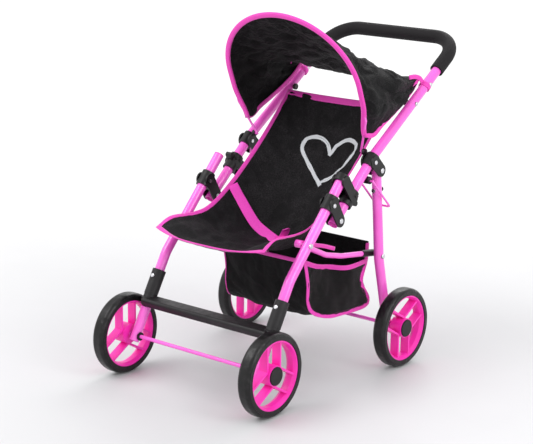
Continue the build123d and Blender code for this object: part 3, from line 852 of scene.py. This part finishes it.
def make_canopy_tie(side, name):
    """A tape from the hood's rear corner to a loop round the handle tube."""
    x, y, z = side * (SEAT_HIGH.x + 0.020), CANOPY.y + 0.140, CANOPY.z + 0.106
    tube = tube_axis_at(y + 0.014, side)
    above = Vector((0, -HANDLE_DIR.z, HANDLE_DIR.y))
    route = [(x, y - 0.028, z + 0.008), (x + side * 0.002, y - 0.014, z + 0.008),
             (x + side * 0.003, y, z + 0.004), tube + above * (TUBE_R + 1.8 * MM)]
    tie = strip(f"canopy_tie_{name}", curve_points(route, 26), Vector((0, 0.2, 1)), tape, 8 * MM, 2 * MM)
    turn = []
    for k in range(33):
        angle = 2 * math.pi * k / 32
        way = above * math.cos(angle) + Vector((1, 0, 0)) * math.sin(angle)
        turn.append(tube + way * (TUBE_R + 1.2 * MM))
    loop = strip(f"canopy_tie_loop_{name}", turn, HANDLE_DIR, tape, 9 * MM, 1.8 * MM)
    for piece in (tie, loop):
        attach(piece, "handle")


def tube_axis_at(y, side):
    """The middle of the handle's straight upper tube at y."""
    low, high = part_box("handle_bolts")
    a = Vector((0, low.y + SCREW_HEAD, low.z + SCREW_HEAD))
    b = Vector((0, high.y - SCREW_HEAD, high.z - SCREW_HEAD))
    spot = a + (b - a) * ((y - a.y) / (b.y - a.y))
    return Vector((side * FRAME_X, spot.y, spot.z))


# Basket

BAG_COLUMNS = 37
BAG_ROWS = 65
BAG_DEPTH = 0.111         # the front panel's height
BAG_TAPER = 0.080         # how far back the sides draw in towards the front panel
BAG_PINCH = 0.0175        # how much narrower the front panel is on each side
BAG_SET_BACK = 0.022      # how far the front panel hangs behind the CAD basket's front
BAG_SIDE_TOP = 0.086      # the height at which the net meets the rear panel


def bag_profile():
    """The basket's line from its front top edge, down the front, under, and up the rear panel."""
    front, rear, low, top = BASKET_LOW.y, BASKET_HIGH.y, BASKET_LOW.z, BASKET_HIGH.z
    return [(0, front, low + BAG_DEPTH), (0, front + 0.009, low + 0.070), (0, front + 0.010, low + 0.036),
            (0, front + 0.026, low + 0.015), (0, front + 0.075, low + 0.004), (0, rear - 0.060, low),
            (0, rear - 0.010, low + 0.001), (0, rear - 0.003, low + 0.014), (0, rear - 0.024, low + 0.048),
            (0, rear - 0.012, low + BAG_SIDE_TOP), (0, rear - 0.010, top)]


def make_basket():
    half = BASKET_HIGH.x
    line = curve_points(bag_profile(), BAG_ROWS)
    rows = []
    for p in line:
        front = smooth(1 - (p.y - BASKET_LOW.y) / BAG_TAPER)
        reach = half - BAG_PINCH * front
        row = []
        for j in range(BAG_COLUMNS):
            share = 2 * j / (BAG_COLUMNS - 1) - 1
            row.append(Vector((reach * share, p.y + BAG_SET_BACK * front, p.z)))
        rows.append(row)
    bag = cloth_grid("basket_cloth", rows, bag_cloth)

    def held(index):
        row, column = divmod(index, BAG_COLUMNS)
        return row in (0, BAG_ROWS - 1) or column in (0, BAG_COLUMNS - 1)

    settle(bag, held, slack=0.02, gravity=0.3, cap=0.006)
    crumple(bag, BAG_COLUMNS, 4.0 * MM, 0.045, seed=7.0, stretch=(1.0, 1.0, 0.6))
    edges = {"right": grid_column(bag, BAG_COLUMNS, 0),
             "left": grid_column(bag, BAG_COLUMNS, BAG_COLUMNS - 1)}
    down = [Vector((0, 0, -1))] * BAG_COLUMNS
    pieces = [bag, edge_tape("basket_binding_front", grid_row(bag, BAG_COLUMNS, 0), down, 7 * MM),
              edge_tape("basket_hem_rear", grid_row(bag, BAG_COLUMNS, BAG_ROWS - 1), down, 7 * MM, bag_cloth)]
    thicken(bag)
    for name, edge in edges.items():
        pieces += bag_side(name, edge)
    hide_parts("basket")
    for piece in pieces:
        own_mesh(piece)
        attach(piece, "side_links")


def bag_side(name, edge):
    """The net at one side of the basket, with its binding."""
    count = len(edge)
    rear_half = [p for p in edge if p.y > 0]
    side_top = min(rear_half, key=lambda p: abs(p.z - (BASKET_LOW.z + BAG_SIDE_TOP)))
    rear_index = edge.index(side_top)
    rim = edge[:rear_index + 1]
    front_top = rim[0]
    top_knots = [front_top, front_top + Vector((0, 0.035, -0.014)), front_top + Vector((0, 0.070, -0.022)),
                 side_top + Vector((0, -0.055, -0.001)), side_top]
    top = curve_points(top_knots, len(rim))
    rows = 15
    grid = [[t.lerp(e, i / (rows - 1)) for t, e in zip(top, rim)] for i in range(rows)]
    net = cloth_grid(f"basket_net_{name}", grid, bag_net)
    crumple(net, len(rim), 3.0 * MM, 0.035, seed=11.0)
    layer = net.data.uv_layers[0]
    for loop in net.data.loops:
        place = net.data.vertices[loop.vertex_index].co
        layer.data[loop.index].uv = (place.y, place.z)
    centre = Vector((edge[0].x, sum(p.y for p in edge) / count, sum(p.z for p in edge) / count))
    inward = [(centre - p).normalized() for p in edge]
    outer = edge_tape(f"basket_binding_side_{name}", edge, inward, 7.5 * MM)
    upper = edge_tape(f"basket_binding_top_{name}", top, [Vector((0, 0, -1))] * len(top), 8.5 * MM)
    return [net, outer, upper]


# Stage, lights and camera

FLOOR_HALF = 9.0
CAMERA_AT = (1.5845, -2.0250, 0.8978)
CAMERA_TURN = (38.98, 14.32, 0.90)     # azimuth, elevation and roll in degrees
CAMERA_LENS = 104.05


def make_stage():
    """A pale grey floor round the stroller that turns into the white of the studio further out."""
    n = Nodes("floor")
    place = n.object_place()
    axes = n.add("SeparateXYZ", {0: place})
    across = n.math("MULTIPLY", axes.outputs[0], axes.outputs[0])
    along = n.math("MULTIPLY", axes.outputs[1], axes.outputs[1])
    away = n.math("SQRT", n.math("ADD", across, along))
    far = n.range(away, 0.45, 1.5, 0.0, 1.0)
    n.set(Base_Color=n.mix(far, colour(206, 206, 208), colour(40, 40, 40)))
    n.set(Emission_Color=(1.0, 1.0, 1.0, 1.0), Emission_Strength=far)
    n.set(Roughness=n.range(n.noise(place, 8.0), 0.3, 0.7, 0.5, 0.62), Specular_IOR_Level=0.2)
    n.bump(n.noise(place, 60.0), 0.1 * MM, 0.1)
    corners = [(x * FLOOR_HALF, y * FLOOR_HALF, 0) for x, y in ((-1, -1), (1, -1), (1, 1), (-1, 1))]
    floor = new_object("floor", corners, [(0, 1, 2, 3)], n.material)
    world = bpy.data.worlds.new("studio")
    world.use_nodes = True
    background = world.node_tree.nodes["Background"]
    background.inputs["Color"].default_value = (1.0, 1.0, 1.0, 1.0)
    background.inputs["Strength"].default_value = 1.0
    bpy.context.scene.world = world


def area_light(name, place, target, size, watts):
    """A rectangular softbox that faces target."""
    data = bpy.data.lights.new(name, "AREA")
    data.shape = "RECTANGLE"
    data.size, data.size_y = size
    data.energy = watts
    lamp = bpy.data.objects.new(name, data)
    lamp.location = place
    lamp.rotation_euler = (Vector(target) - Vector(place)).to_track_quat("-Z", "Y").to_euler()
    bpy.context.scene.collection.objects.link(lamp)


def make_lights():
    middle = (0, 0, 0.3)
    area_light("key_softbox", (-1.1, -1.6, 2.3), middle, (1.6, 1.2), 30)
    area_light("side_softbox", (2.2, -0.3, 1.4), middle, (0.9, 1.8), 20)
    area_light("back_softbox", (-0.6, 2.0, 1.9), middle, (1.8, 0.9), 22)


def make_camera():
    """The place and lens that give the reference view."""
    azimuth, elevation, roll = (math.radians(degrees) for degrees in CAMERA_TURN)
    data = bpy.data.cameras.new("camera")
    data.sensor_width = 36.0
    data.lens = CAMERA_LENS
    data.clip_end = 50
    camera = bpy.data.objects.new("camera", data)
    turn = (Matrix.Rotation(azimuth, 4, "Z") @ Matrix.Rotation(math.pi / 2 - elevation, 4, "X")
            @ Matrix.Rotation(roll, 4, "Z"))
    camera.matrix_world = Matrix.Translation(CAMERA_AT) @ turn
    bpy.context.scene.collection.objects.link(camera)
    bpy.context.scene.camera = camera


finish_cad_nodes()
make_seat()
make_lock_collars()
make_canopy()
make_basket()
make_stage()
make_lights()
make_camera()
bpy.context.scene.view_settings.view_transform = "Standard"
